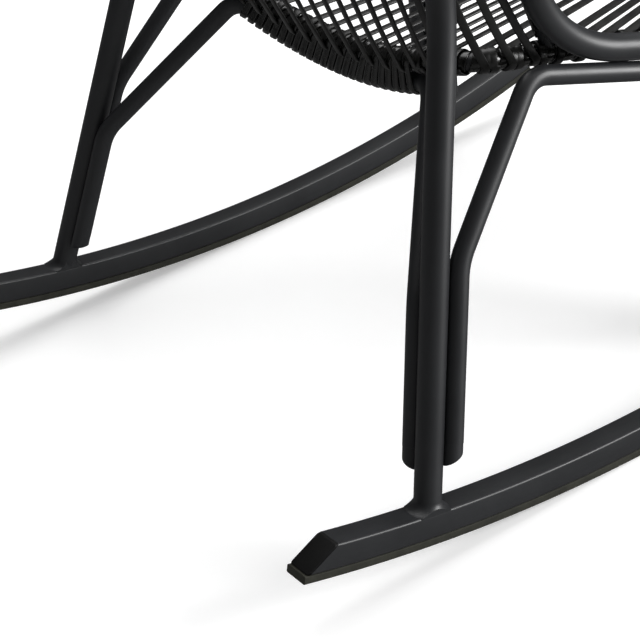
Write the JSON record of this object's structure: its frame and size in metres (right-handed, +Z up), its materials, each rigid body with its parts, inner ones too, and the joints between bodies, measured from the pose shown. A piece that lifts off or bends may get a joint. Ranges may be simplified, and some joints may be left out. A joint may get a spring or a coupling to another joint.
{
  "type": "wicker rocking chair",
  "caption": "Armless rocking chair: bent steel tube frame on curved runners, with a woven resin strip seat and back.",
  "frame": {"origin": "middle of the chair's outline on the floor, with the chair balanced at rest on its runners", "axes": "+X to the sitter's left, +Y to the rear, +Z up"},
  "size_m": [0.672, 0.8509, 1.0411],
  "materials": {
    "powder_coat": "satin black powder coat",
    "resin_strip": "smooth black resin strip with a slight gloss",
    "resin_binding": "black resin strip wound round a rod",
    "rubber": "dark moulded rubber",
    "plastic": "moulded black plastic"
  },
  "bodies": {
    "root": {"runner_left": "powder_coat", "runner_right": "powder_coat", "runner_rear_caps": "plastic", "runner_front_caps": "plastic", "glide_left": "rubber", "glide_right": "rubber", "rear_leg_left": "powder_coat", "rear_leg_right": "powder_coat", "front_leg_left": "powder_coat", "front_leg_right": "powder_coat", "rear_leg_welds": "powder_coat", "front_leg_welds": "powder_coat", "back_post_caps": "powder_coat", "rear_cross_brace": "powder_coat", "front_cross_brace": "powder_coat", "side_brace_left": "powder_coat", "side_brace_right": "powder_coat", "brace_end_plugs": "plastic", "back_hoop": "powder_coat", "front_rail": "powder_coat", "rim_spigots": "powder_coat", "seat_ring": "powder_coat", "back_inner_hoop": "powder_coat", "ring_spacers": "powder_coat", "hoop_spacers": "powder_coat", "hip_binding": "resin_binding", "side_binding_left": "resin_binding", "side_binding_right": "resin_binding", "front_binding": "resin_binding", "back_binding_left": "resin_binding", "back_binding_right": "resin_binding", "top_binding": "resin_binding", "seat_strips": "resin_strip", "back_strips": "resin_strip"}
  },
  "joints": []
}
